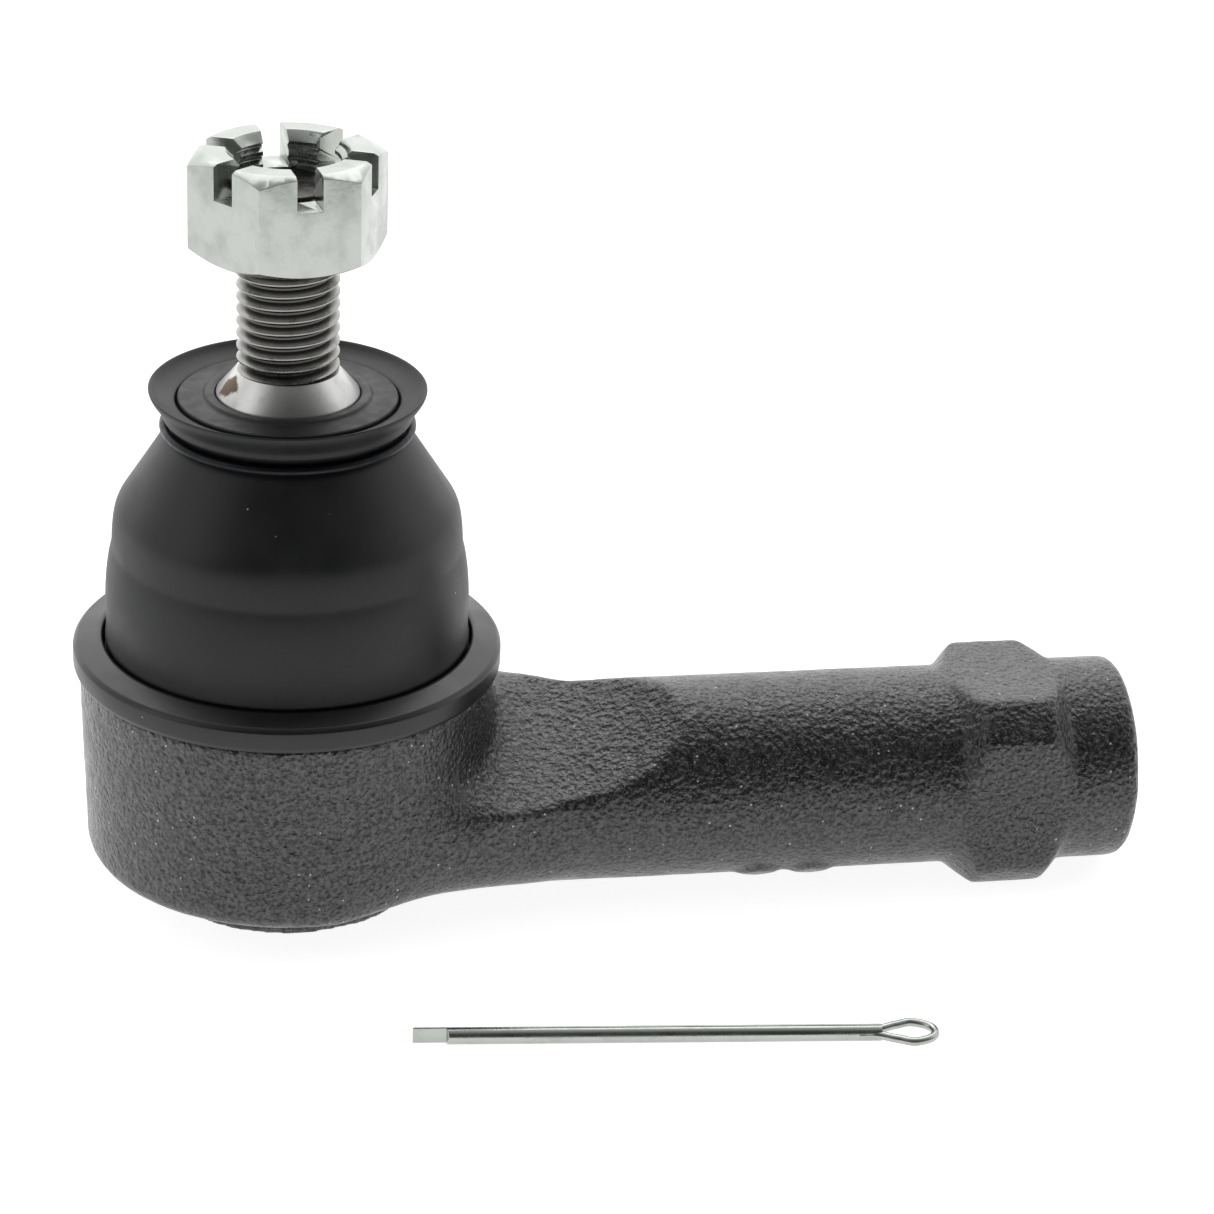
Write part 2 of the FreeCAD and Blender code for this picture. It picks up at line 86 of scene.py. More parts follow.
ROD_MOUNT = next(m for m in frame["record"]["mounts"] if m["name"] == "rod_thread")

# millimetres, where not said otherwise
ROD_MINOR_R = ROD_MOUNT["dims"]["r_mm"]
ROD_CLEARANCE = 0.032       # the inner thread's crest stands back by this
ROD_THREAD_FROM, ROD_THREAD_TO = 46.2, 85.2   # along the shank
ROD_SLEEVE_R = 7.6          # outside of the threaded sleeve, sunk in the forging
ROD_BED_R = 7.35            # bore opened to this to hold the sleeve
BALL_R = 10.0
NECK_R = 5.3
STUD_CREST_R = 5.0
STUD_THREAD_LENGTH = 18.7
PIN_HOLE_R = 1.25
PIN_HOLE_DOWN = 4.2         # below the stud's end
PIN_HOLE_TURN = -81.5       # degrees from the shank
FOOT_R = 18.14              # outside of the boot's foot
SEAL_BORE_R = 7.12
PIN_PLACE = (53.3, -39.7, 0.85)
PIN_TURN = -5.3             # degrees from the shank
PIN_LEG_R = 0.83
PIN_LEG_REACHES = ((1, 45.0), (-1, 41.8))

# a Mix node's colour sockets
MIX_FIRST, MIX_SECOND, MIX_RESULT = 6, 7, 2
OF_COLOURS = {"data_type": "RGBA"}
# a Map Range node's inputs are the value, its range and the new range
SMOOTHLY = {"interpolation_type": "SMOOTHSTEP"}

# thread form over one pitch: share of the pitch, share of the depth from root to crest
THREAD_FORM = ((0, 1), (0.05, 1), (0.1, 0.88), (0.37, 0.12), (0.43, 0), (0.57, 0),
               (0.63, 0.12), (0.9, 0.88), (0.95, 1), (1, 1))


def low(node):
    """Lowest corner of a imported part, in millimetres."""
    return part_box(node)[0] / MM


def high(node):
    """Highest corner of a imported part, in millimetres."""
    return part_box(node)[1] / MM


def linear(code):
    """Linear colour from an sRGB hex value."""
    parts = [int(code[i:i + 2], 16) / 255 for i in (1, 3, 5)]
    return [c / 12.92 if c <= 0.04045 else ((c + 0.055) / 1.055) ** 2.4 for c in parts]


# ---------------------------------------------------------------- settings
def colour(name, code, description):
    """Colour setting with its default given as an sRGB hex value."""
    return bpy.props.FloatVectorProperty(name=name, description=description, subtype="COLOR",
                                         size=3, min=0, max=1, default=linear(code))


def length(name, millimetres, description):
    """Length setting with its default in millimetres."""
    return bpy.props.FloatProperty(name=name, description=description, unit="LENGTH",
                                   min=0, precision=5, default=millimetres * MM)


class TieRodSizes(bpy.types.PropertyGroup):
    """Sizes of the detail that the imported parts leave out."""
    voxel: length("Forging resolution", 0.42, "Cell size that the forging is rebuilt with")
    scale_height: length("Forging unevenness", 0.045, "Height of the scale left by forging")
    grain: length("Forging grain", 0.62, "Width of one bump of the painted forging scale")
    stud_pitch: length("Stud thread pitch", 1.25, "M10 x 1.25")
    stud_depth: length("Stud thread depth", 0.77, "Crest to root")
    rod_pitch: length("Rod thread pitch", 1.5, "M14 x 1.5")
    rod_depth: length("Rod thread depth", 0.81, "Crest to root")
    nut_edge: length("Nut edge", 0.16, "Rounding of the nut's edges")
    wire: length("Split pin wire", 0.42, "Radius of the wire in the split pin's eye")


class TieRodColours(bpy.types.PropertyGroup):
    """Colours of the finishes."""
    paint: colour("Paint", "#0c0d0e", "Black dip paint on the forging")
    dust: colour("Dust", "#b9b9b6", "Fine dust caught in paint and rubber")
    rubber: colour("Rubber", "#111213", "Chloroprene dust boot")
    bloom: colour("Bloom", "#202122", "Waxy bloom on the rubber")
    ring: colour("Ring", "#131415", "Rubber skin of the boot ring")
    seal: colour("Seal", "#1a1b1c", "Seal ring")
    zinc: colour("Zinc", "#b3b7b2", "Bright zinc plate")
    steel: colour("Steel", "#d6d6d4", "Bare turned steel")
    thread: colour("Thread", "#999895", "Rolled thread")
    residue: colour("Residue", "#6a4f2c", "Dried rust preventive")
    acetal: colour("Acetal", "#e4e0d4", "Natural acetal bearings")
    spring: colour("Spring steel", "#63656a", "Tempered spring steel")
    wire: colour("Clip wire", "#303134", "Blackened spring wire")
    floor: colour("Floor", "#f4f4f4", "Studio floor")


# ---------------------------------------------------------------- mesh helpers
def turned(outline, steps, ring=True):
    """Mesh turned about the stud's axis from (radius, height) points in millimetres."""
    bm = bmesh.new()
    points = [bm.verts.new((r * MM, 0, z * MM)) for r, z in outline]
    pairs = list(zip(points, points[1:]))
    if ring:
        pairs.append((points[-1], points[0]))
    lines = [bm.edges.new(pair) for pair in pairs]
    bmesh.ops.spin(bm, geom=points + lines, steps=steps, **FULL_SPIN)
    bmesh.ops.remove_doubles(bm, verts=bm.verts, dist=1e-7)
    bmesh.ops.recalc_face_normals(bm, faces=bm.faces)
    return bm


def arc(centre, radius, start, end, count):
    """Points along an arc in (radius, height), angles in degrees from the radius direction."""
    angles = [math.radians(start + (end - start) * k / count) for k in range(count + 1)]
    return [(centre[0] + radius * math.cos(a), centre[1] + radius * math.sin(a)) for a in angles]


def soften(bm, width, angle=25, segments=2):
    """Bevels every edge sharper than an angle in degrees, by a width in millimetres."""
    sharp = [e for e in bm.edges
             if len(e.link_faces) == 2 and e.calc_face_angle(0) > math.radians(angle)]
    bmesh.ops.bevel(bm, geom=sharp, offset=width * MM, segments=segments, **EDGE_BEVEL)


def helix(crest_r, root_r, pitch, bottom, top, steps=64):
    """Open helical surface about Z between two heights, all in millimetres."""
    one = bmesh.new()
    start = bottom - 1.5 * pitch
    points = [one.verts.new(((root_r + (crest_r - root_r) * d) * MM, 0, (start + pitch * f) * MM))
              for f, d in THREAD_FORM]
    lines = [one.edges.new(pair) for pair in zip(points, points[1:])]
    bmesh.ops.spin(one, geom=points + lines, cent=(0, 0, 0), axis=(0, 0, 1), angle=math.tau,
                   dvec=(0, 0, pitch * MM / steps), steps=steps, use_merge=False,
                   use_normal_flip=False, use_duplicate=False)
    turn = bpy.data.meshes.new("one_turn")
    one.to_mesh(turn)
    one.free()
    bm = bmesh.new()
    for _ in range(math.ceil((top - bottom) / pitch) + 2):
        bm.from_mesh(turn)
        turn.transform(Matrix.Translation((0, 0, pitch * MM)))
    bpy.data.meshes.remove(turn)
    bmesh.ops.remove_doubles(bm, verts=bm.verts, dist=1e-6)
    for height, side in ((bottom, -1), (top, 1)):
        bmesh.ops.bisect_plane(bm, geom=bm.verts[:] + bm.edges[:] + bm.faces[:], dist=1e-8,
                               plane_co=(0, 0, height * MM), plane_no=(0, 0, side),
                               clear_outer=True)
    return bm


def screw(crest_r, root_r, pitch, bottom, top, chamfer):
    """Closed threaded rod with a chamfered top end."""
    bm = helix(crest_r, root_r, pitch, bottom, top)
    for v in bm.verts:
        limit = (crest_r - chamfer + top) * MM - v.co.z
        radius = math.hypot(v.co.x, v.co.y)
        if radius > limit:
            v.co.x *= limit / radius
            v.co.y *= limit / radius
    bmesh.ops.holes_fill(bm, edges=[e for e in bm.edges if e.is_boundary], sides=0)
    bmesh.ops.recalc_face_normals(bm, faces=bm.faces)
    return bm


def threaded_sleeve(crest_r, root_r, outer_r, pitch, bottom, top):
    """Closed tube with a thread inside it."""
    bm = helix(crest_r, root_r, pitch, bottom, top)
    rims = []
    for height in (bottom, top):
        rim = [e for e in bm.edges if e.is_boundary
               and abs(e.verts[0].co.z - height * MM) < 1e-6]
        grown = bmesh.ops.extrude_edge_only(bm, edges=rim)["geom"]
        for v in (g for g in grown if isinstance(g, bmesh.types.BMVert)):
            scale = outer_r * MM / math.hypot(v.co.x, v.co.y)
            v.co.x *= scale
            v.co.y *= scale
        rims += [g for g in grown if isinstance(g, bmesh.types.BMEdge) and g.is_boundary]
    bmesh.ops.bridge_loops(bm, edges=rims)
    bmesh.ops.recalc_face_normals(bm, faces=bm.faces)
    return bm


def new_object(name, bm):
    """Object holding a finished bmesh."""
    mesh = bpy.data.meshes.new(name)
    bm.to_mesh(mesh)
    bm.free()
    obj = bpy.data.objects.new(name, mesh)
    bpy.context.scene.collection.objects.link(obj)
    return obj


def merged_copy(node):
    """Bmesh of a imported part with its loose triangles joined."""
    bm = bmesh.new()
    bm.from_mesh(frame["nodes"][node].data)
    bmesh.ops.remove_doubles(bm, verts=bm.verts, dist=2e-6)
    return bm


def apply_modifiers(obj):
    """Makes the result of an object's modifiers its mesh."""
    graph = bpy.context.evaluated_depsgraph_get()
    graph.update()
    mesh = bpy.data.meshes.new_from_object(obj.evaluated_get(graph))
    obj.modifiers.clear()
    obj.data = mesh


def cut_away(obj, cutter):
    """Takes a closed solid out of an object, and removes that solid."""
    boolean = obj.modifiers.new("Cut", "BOOLEAN")
    boolean.operation = "DIFFERENCE"
    boolean.solver = "EXACT"
    boolean.object = cutter
    apply_modifiers(obj)
    bpy.data.objects.remove(cutter)


def finish_piece(obj, material, body=None, stands_for=(), smooth=35):
    """Shades a piece, gives it its material and joins it to its body."""
    obj.data.materials.clear()
    obj.data.materials.append(material)
    obj.data.polygons.foreach_set("use_smooth", [True] * len(obj.data.polygons))
    obj.data.set_sharp_from_angle(angle=math.radians(smooth))
    if body:
        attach(obj, body)
    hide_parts(*stands_for)


# ---------------------------------------------------------------- materials
def add_node(tree, kind, inputs, output=0, **attributes):
    """Adds a node, fills its inputs by name or in order, and returns one of its outputs."""
    node = tree.nodes.new(kind)
    for name, value in attributes.items():
        setattr(node, name, value)
    for key, value in inputs.items() if isinstance(inputs, dict) else enumerate(inputs):
        socket = node.inputs[key]
        if isinstance(value, bpy.types.NodeSocket):
            tree.links.new(value, socket)
        else:
            socket.default_value = (*value, 1) if socket.type == "RGBA" else value
    return node.outputs[output]


def per_metre(millimetres):
    """Texture scale that gives a pattern this size."""
    return 1000 / millimetres


def new_material(name, base, roughness, metallic=0.0):
    """Material with a Principled shader; returns it, its tree, the shader's inputs and places."""
    material = bpy.data.materials.new(name)
    material.use_nodes = True
    material.diffuse_color = (*base, 1)
    tree = material.node_tree
    surface = tree.nodes["Principled BSDF"].inputs
    surface["Base Color"].default_value = (*base, 1)
    surface["Roughness"].default_value = roughness
    surface["Metallic"].default_value = metallic
    place = tree.nodes.new("ShaderNodeTexCoord").outputs["Object"]
    return material, tree, surface, place


def specks(tree, place, spacing, size, share):
    """Mask of dust specks: spacing and size in millimetres, share of the cells that hold one."""
    distance = add_node(tree, "ShaderNodeTexVoronoi",
                        {"Vector": place, "Scale": per_metre(spacing)}, "Distance")
    near = add_node(tree, "ShaderNodeMapRange",
                    (distance, 0.5 * size / spacing, size / spacing, 1, 0), **SMOOTHLY)
    pick = add_node(tree, "ShaderNodeSeparateColor", {"Color": distance.node.outputs["Color"]})
    chosen = add_node(tree, "ShaderNodeMath", {0: pick, 1: share}, operation="LESS_THAN")
    return add_node(tree, "ShaderNodeMath", {0: near, 1: chosen}, operation="MULTIPLY")


def fine_grain(tree, surface, place, width, height, strength, detail=2):
    """Gives a surface a fine even grain, its width and height in millimetres."""
    bumps = add_node(tree, "ShaderNodeTexNoise",
                     {"Vector": place, "Scale": per_metre(width), "Detail": detail,
                      "Roughness": 0.5}, "Fac")
    relief = add_node(tree, "ShaderNodeBump",
                      {"Height": bumps, "Strength": strength, "Distance": height * MM})
    tree.links.new(relief, surface["Normal"])


def painted_forging(colours, grain):
    """Hot forged steel, shot blasted and dipped in black paint: pebbled satin with dust in it."""
    material, tree, surface, place = new_material("dip_painted_forging", colours.paint, 0.36)
    surface["Coat Weight"].default_value = 0.14
    surface["Coat Roughness"].default_value = 0.3
    lumps = add_node(tree, "ShaderNodeTexNoise",
                     {"Vector": place, "Scale": per_metre(2.4 * grain), "Detail": 3,
                      "Roughness": 0.55}, "Fac")
    pits = add_node(tree, "ShaderNodeTexNoise",
                    {"Vector": place, "Scale": per_metre(0.6 * grain), "Detail": 3,
                     "Roughness": 0.6}, "Fac")
    cells = add_node(tree, "ShaderNodeTexVoronoi",
                     {"Vector": place, "Scale": per_metre(grain), "Smoothness": 0.6}, "Distance",
                     feature="SMOOTH_F1")
    relief = add_node(tree, "ShaderNodeBump",
                      {"Height": cells, "Strength": 0.8, "Distance": 0.22 * MM})
    relief = add_node(tree, "ShaderNodeBump",
                      {"Height": pits, "Strength": 0.9, "Distance": 0.16 * MM, "Normal": relief})
    relief = add_node(tree, "ShaderNodeBump",
                      {"Height": lumps, "Strength": 0.7, "Distance": 0.3 * MM, "Normal": relief})
    tree.links.new(relief, surface["Normal"])
    # pits keep light out, so they shine less
    shine = add_node(tree, "ShaderNodeMapRange", (pits, 0.32, 0.68, 0.42, 1.2), **SMOOTHLY)
    tree.links.new(shine, surface["Specular IOR Level"])
    satin = add_node(tree, "ShaderNodeMapRange", (lumps, 0.3, 0.7, 0.23, 0.36), **SMOOTHLY)
    tree.links.new(satin, surface["Roughness"])
    clouds = add_node(tree, "ShaderNodeTexNoise",
                      {"Vector": place, "Scale": per_metre(9), "Detail": 2, "Roughness": 0.5},
                      "Fac")
    drift = add_node(tree, "ShaderNodeMapRange", (clouds, 0.42, 0.62, 0.05, 0.55), **SMOOTHLY)
    dust = specks(tree, place, 1.1, 0.15, drift)
    skin = add_node(tree, "ShaderNodeMix",
                    {0: dust, MIX_FIRST: colours.paint, MIX_SECOND: colours.dust}, MIX_RESULT,
                    **OF_COLOURS)
    tree.links.new(skin, surface["Base Color"])
    return material


def boot_rubber(colours):
    """Moulded chloroprene: soft satin black, faint waxy bloom and a little dust."""
    material, tree, surface, place = new_material("moulded_rubber", colours.rubber, 0.46)
    surface["Specular IOR Level"].default_value = 0.4
    cloud = add_node(tree, "ShaderNodeTexNoise",
                     {"Vector": place, "Scale": per_metre(9), "Detail": 4, "Roughness": 0.6}, "Fac")
    bloomed = add_node(tree, "ShaderNodeMapRange", (cloud, 0.4, 0.75, 0, 0.5), **SMOOTHLY)
    bloom = add_node(tree, "ShaderNodeMix",
                     {0: bloomed, MIX_FIRST: colours.rubber, MIX_SECOND: colours.bloom},
                     MIX_RESULT, **OF_COLOURS)
    dusty = add_node(tree, "ShaderNodeMix",
                     {0: specks(tree, place, 2.6, 0.1, 0.12), MIX_FIRST: bloom,
                      MIX_SECOND: colours.dust}, MIX_RESULT, **OF_COLOURS)
    tree.links.new(dusty, surface["Base Color"])
    satin = add_node(tree, "ShaderNodeMapRange", (cloud, 0.3, 0.7, 0.42, 0.52), **SMOOTHLY)
    tree.links.new(satin, surface["Roughness"])
    fine_grain(tree, surface, place, 0.35, 0.012, 0.6)
    return material


def ring_rubber(colours):
    """Rubber vulcanised to a steel ring: smooth, a shade glossier than the boot."""
    material, tree, surface, place = new_material("rubber_skinned_ring", colours.ring, 0.34)
    cloud = add_node(tree, "ShaderNodeTexNoise",
                     {"Vector": place, "Scale": per_metre(5), "Detail": 3, "Roughness": 0.5}, "Fac")
    dusty = add_node(tree, "ShaderNodeMix",
                     {0: specks(tree, place, 2.2, 0.09, 0.1), MIX_FIRST: colours.ring,
                      MIX_SECOND: colours.dust}, MIX_RESULT, **OF_COLOURS)
    tree.links.new(dusty, surface["Base Color"])
    satin = add_node(tree, "ShaderNodeMapRange", (cloud, 0.3, 0.7, 0.3, 0.4), **SMOOTHLY)
    tree.links.new(satin, surface["Roughness"])
    fine_grain(tree, surface, place, 0.5, 0.01, 0.5)
    return material


def seal_rubber(colours):
    """Matt nitrile seal ring, lightly ground on its face."""
    material, tree, surface, place = new_material("ground_seal_rubber", colours.seal, 0.5)
    cloud = add_node(tree, "ShaderNodeTexNoise",
                     {"Vector": place, "Scale": per_metre(2.2), "Detail": 4, "Roughness": 0.6},
                     "Fac")
    bloomed = add_node(tree, "ShaderNodeMapRange", (cloud, 0.45, 0.8, 0, 0.5), **SMOOTHLY)
    bloom = add_node(tree, "ShaderNodeMix",
                     {0: bloomed, MIX_FIRST: colours.seal, MIX_SECOND: colours.bloom},
                     MIX_RESULT, **OF_COLOURS)
    tree.links.new(bloom, surface["Base Color"])
    matt = add_node(tree, "ShaderNodeMapRange", (cloud, 0.3, 0.7, 0.42, 0.58), **SMOOTHLY)
    tree.links.new(matt, surface["Roughness"])
    fine_grain(tree, surface, place, 0.3, 0.01, 0.5)
    return material


def zinc_plate(colours, name, grain=0.5):
    """Bright zinc plate: a light, slightly clouded metal with fine pits."""
    material, tree, surface, place = new_material(name, colours.zinc, 0.24, 1.0)
    cloud = add_node(tree, "ShaderNodeTexNoise",
                     {"Vector": place, "Scale": per_metre(3.2), "Detail": 4, "Roughness": 0.6},
                     "Fac")
    dulled = add_node(tree, "ShaderNodeMapRange", (cloud, 0.45, 0.85, 0, 1), **SMOOTHLY)
    plate = add_node(tree, "ShaderNodeMix",
                     {0: dulled, MIX_FIRST: colours.zinc,
                      MIX_SECOND: [c * 0.78 for c in colours.zinc]}, MIX_RESULT, **OF_COLOURS)
    tree.links.new(plate, surface["Base Color"])
    bright = add_node(tree, "ShaderNodeMapRange", (cloud, 0.3, 0.75, 0.2, 0.36), **SMOOTHLY)
    tree.links.new(bright, surface["Roughness"])
    fine_grain(tree, surface, place, grain, 0.012, 0.7, 3)
    return material


def stem_steel(colours):
    """Turned steel, bare and satin, with dried rust preventive beside the thread."""
    material, tree, surface, place = new_material("turned_steel", colours.steel, 0.4, 1.0)
    cloud = add_node(tree, "ShaderNodeTexNoise",
                     {"Vector": place, "Scale": per_metre(1.8), "Detail": 4, "Roughness": 0.65},
                     "Fac")
    dulled = add_node(tree, "ShaderNodeMapRange", (cloud, 0.5, 0.85, 0, 0.8), **SMOOTHLY)
    bare = add_node(tree, "ShaderNodeMix",
                    {0: dulled, MIX_FIRST: colours.steel,
                     MIX_SECOND: [c * 0.7 for c in colours.steel]}, MIX_RESULT, **OF_COLOURS)
    away = add_node(tree, "ShaderNodeVectorMath",
                    {0: place, 1: (-5.9 * MM, -1.6 * MM, 54.1 * MM)}, "Value",
                    operation="DISTANCE")
    ragged = add_node(tree, "ShaderNodeMath", {0: cloud, 1: 2.4 * MM, 2: away},
                      operation="MULTIPLY_ADD")
    stained = add_node(tree, "ShaderNodeMapRange", (ragged, 2.2 * MM, 2.6 * MM, 1, 0), **SMOOTHLY)
    finish = add_node(tree, "ShaderNodeMix",
                      {0: stained, MIX_FIRST: bare, MIX_SECOND: colours.residue}, MIX_RESULT,
                      **OF_COLOURS)
    tree.links.new(finish, surface["Base Color"])
    metal = add_node(tree, "ShaderNodeMapRange", (stained, 0, 1, 1, 0.15), **SMOOTHLY)
    tree.links.new(metal, surface["Metallic"])
    # lathe lines 1.4 mm apart, coarser than real ones so that they show: a wave repeats every
    # tau / 20 of its scale
    lines = add_node(tree, "ShaderNodeTexWave",
                     {"Vector": place, "Scale": per_metre(0.22) / 20, "Distortion": 0.4,
                      "Detail": 2}, "Fac", bands_direction="Z")
    relief = add_node(tree, "ShaderNodeBump",
                      {"Height": lines, "Strength": 0.5, "Distance": 0.006 * MM})
    tree.links.new(relief, surface["Normal"])
    return material


def thread_steel(colours):
    """Rolled thread: burnished flanks with random dark stains, and painted shade darkening the
    roots.
    """
    material, tree, surface, place = new_material("rolled_thread_steel", colours.thread, 0.22, 1.0)
    cloud = add_node(tree, "ShaderNodeTexNoise",
                     {"Vector": place, "Scale": per_metre(1.4), "Detail": 4, "Roughness": 0.65},
                     "Fac")
    level = add_node(tree, "ShaderNodeVectorMath", {0: place, 1: (1, 1, 0)}, operation="MULTIPLY")
    radius = add_node(tree, "ShaderNodeVectorMath", {0: level}, "Value", operation="LENGTH")
    # painted shade: the roots are darkened by their distance from the axis, the crests left light
    crest = add_node(tree, "ShaderNodeMapRange", (radius, 4.4 * MM, 4.9 * MM, 0.05, 1), **SMOOTHLY)
    # one dark colour serves both the random stains on the flanks and the painted shade in the roots
    root_shade_and_dirt = [c * 0.25 for c in colours.thread]
    stained = add_node(tree, "ShaderNodeMapRange", (cloud, 0.58, 0.72, 0, 0.55), **SMOOTHLY)
    flank = add_node(tree, "ShaderNodeMix",
                     {0: stained, MIX_FIRST: colours.thread, MIX_SECOND: root_shade_and_dirt}, MIX_RESULT,
                     **OF_COLOURS)
    finish = add_node(tree, "ShaderNodeMix", {0: crest, MIX_FIRST: root_shade_and_dirt, MIX_SECOND: flank},
                      MIX_RESULT, **OF_COLOURS)
    tree.links.new(finish, surface["Base Color"])
    bright = add_node(tree, "ShaderNodeMapRange", (cloud, 0.3, 0.7, 0.18, 0.3), **SMOOTHLY)
    tree.links.new(bright, surface["Roughness"])
    return material


def acetal(colours):
    """Natural acetal, injection moulded: waxy and off white."""
    material, tree, surface, place = new_material("moulded_acetal", colours.acetal, 0.42)
    cloud = add_node(tree, "ShaderNodeTexNoise",
                     {"Vector": place, "Scale": per_metre(4), "Detail": 2, "Roughness": 0.5}, "Fac")
    waxy = add_node(tree, "ShaderNodeMix",
                    {0: cloud, MIX_FIRST: colours.acetal,
                     MIX_SECOND: [c * 0.9 for c in colours.acetal]}, MIX_RESULT, **OF_COLOURS)
    tree.links.new(waxy, surface["Base Color"])
    fine_grain(tree, surface, place, 0.4, 0.01, 0.4)
    return material


def spring_steel(name, base):
    """Tempered spring steel, blued by heat and lightly oiled."""
    material, tree, surface, place = new_material(name, base, 0.36, 1.0)
    cloud = add_node(tree, "ShaderNodeTexNoise",
                     {"Vector": place, "Scale": per_metre(1.5), "Detail": 3, "Roughness": 0.5},
                     "Fac")
    blued = add_node(tree, "ShaderNodeMix",
                     {0: cloud, MIX_FIRST: base, MIX_SECOND: [c * 0.6 for c in base]}, MIX_RESULT,
                     **OF_COLOURS)
    tree.links.new(blued, surface["Base Color"])
    oiled = add_node(tree, "ShaderNodeMapRange", (cloud, 0.3, 0.7, 0.3, 0.45), **SMOOTHLY)
    tree.links.new(oiled, surface["Roughness"])
    return material


def settings(context):
    """Sizes and colours of the scene."""
    return context.scene.tie_rod_sizes, context.scene.tie_rod_colours


def paint_of(context):
    """The forging's paint, made once and shared with the cover."""
    sizes, colours = settings(context)
    found = bpy.data.materials.get("dip_painted_forging")
    return found or painted_forging(colours, sizes.grain / MM)


# ---------------------------------------------------------------- operators
class TIEROD_OT_housing(bpy.types.Operator):
    """Forged housing with rolled scale, fillets and its M14 rod thread"""
    bl_idname = "tie_rod.housing"
    bl_label = "Housing"

    def execute(self, context):
        sizes, _ = settings(context)
        axis = Vector((0, *ROD_MOUNT["pos_m"][1:]))
        bm = merged_copy("housing")
        self.open_bore(bm, axis)
        body = new_object("housing_forging", bm)
        remesh = body.modifiers.new("Remesh", "REMESH")
        remesh.mode = "VOXEL"
        remesh.voxel_size = sizes.voxel
        smooth = body.modifiers.new("Smooth", "SMOOTH")
        smooth.factor = 0.5
        smooth.iterations = 7
        apply_modifiers(body)
        self.blend_root(body)
        self.roughen(body, sizes.scale_height)
        finish_piece(body, paint_of(context), "housing", ["housing"], 180)

        sleeve = threaded_sleeve(ROD_MINOR_R + ROD_CLEARANCE, ROD_MINOR_R + sizes.rod_depth / MM,
                                 ROD_SLEEVE_R, sizes.rod_pitch / MM, ROD_THREAD_FROM,
                                 ROD_THREAD_TO)
        turn = Matrix.Translation(axis) @ Matrix.Rotation(math.pi / 2, 4, "Y")
        bmesh.ops.transform(sleeve, matrix=turn, verts=sleeve.verts)
        finish_piece(new_object("rod_thread", sleeve), paint_of(context), "housing")
        return {"FINISHED"}

    def open_bore(self, bm, axis):
        """Widens the tapping bore's wall to the bed of the threaded sleeve."""
        bore_from_x, bore_within = 42 * MM, 7.1 * MM
        for v in bm.verts:
            off = Vector((0, v.co.y - axis.y, v.co.z - axis.z))
            on_wall = 0.9 * ROD_MINOR_R * MM < off.length < bore_within
            if v.co.x > bore_from_x and on_wall:
                off *= max(ROD_BED_R * MM, off.length) / off.length
                v.co.y, v.co.z = axis.y + off.y, axis.z + off.z

    def blend_root(self, body):
        """Draws the arm's root into the head in fillets, wide low down and narrow above."""
        meeting_r, head_inside_r = 21.5, 17
        wide, narrow, narrow_from_z = 7, 3.4, 12
        root = body.vertex_groups.new(name="root")
        for v in body.data.vertices:
            x, y, z = v.co / MM
            reach = math.hypot(x, y)
            near = 1 - min(1, abs(reach - meeting_r) / (wide if z < narrow_from_z else narrow))
            inside = min(1, max(0, (x - 3) / 5)) * min(1, max(0, (23.2 - z) / 1.5))
            inside *= min(1, max(0, (z - 1.5) / 2)) * (reach > head_inside_r)
            if near * inside > 0.01:
                root.add([v.index], near * inside, "REPLACE")
        fillet = body.modifiers.new("Fillet", "SMOOTH")
        fillet.vertex_group = "root"
        fillet.factor = 0.8
        fillet.iterations = 160
        apply_modifiers(body)
        body.vertex_groups.clear()

    def roughen(self, body, height):
        """Raises and sinks the skin a little, as forging scale does, inside the part's own box."""
        lowest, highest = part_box("housing")
        skin = [(v.co.copy(), v.normal.copy()) for v in body.data.vertices]
        for v, (place, outward) in zip(body.data.vertices, skin):
            wide = noise.noise(place / (6.5 * MM))
            fine = noise.noise(place / (1.9 * MM))
            place += outward * height * (0.9 * wide + 0.55 * fine)
            v.co = [max(a, min(b, c)) for a, b, c in zip(lowest, highest, place)]


class TIEROD_OT_ball_stud(bpy.types.Operator):
    """Ball stud with its taper, steep cone, M10 thread and cross hole"""
    bl_idname = "tie_rod.ball_stud"
    bl_label = "Ball stud"

    def execute(self, context):
        sizes, colours = settings(context)
        bottom, top = low("ball_stud").z, high("ball_stud").z
        centre = bottom + BALL_R
        thread_z = top - STUD_THREAD_LENGTH
        neck_angle = math.degrees(math.acos(NECK_R / BALL_R))
        outline = arc((0, centre), BALL_R, -90, neck_angle, 40)
        outline += [(NECK_R, centre + 10.2), (NECK_R, 34.9), (5.9, 35.9), (7.4, 37.6),
                    (7.87, 38.7), (7.0, 52.7), (6.93, 52.95), (5.14, 55.1),
                    (STUD_CREST_R, thread_z), (0, thread_z)]
        stem = turned(outline, 128, ring=False)
        stem_object = new_object("stud_stem", stem)
        root_r = STUD_CREST_R - sizes.stud_depth / MM
        rod = screw(STUD_CREST_R, root_r, sizes.stud_pitch / MM, thread_z - 0.1, top, 0.8)
        rod_object = new_object("stud_thread", rod)
        hole = bmesh.new()
        bmesh.ops.create_cone(hole, cap_ends=True, segments=40,
                              radius1=PIN_HOLE_R * MM, radius2=PIN_HOLE_R * MM,
                              depth=4 * STUD_CREST_R * MM)
        across = (Matrix.Translation((0, 0, (top - PIN_HOLE_DOWN) * MM))
                  @ Matrix.Rotation(math.radians(PIN_HOLE_TURN), 4, "Z")
                  @ Matrix.Rotation(math.pi / 2, 4, "Y"))
        bmesh.ops.transform(hole, matrix=across, verts=hole.verts)
        cut_away(rod_object, new_object("cross_hole", hole))
        finish_piece(stem_object, stem_steel(colours), "stud", ["ball_stud"], 30)
        finish_piece(rod_object, thread_steel(colours), "stud", (), 32)
        return {"FINISHED"}


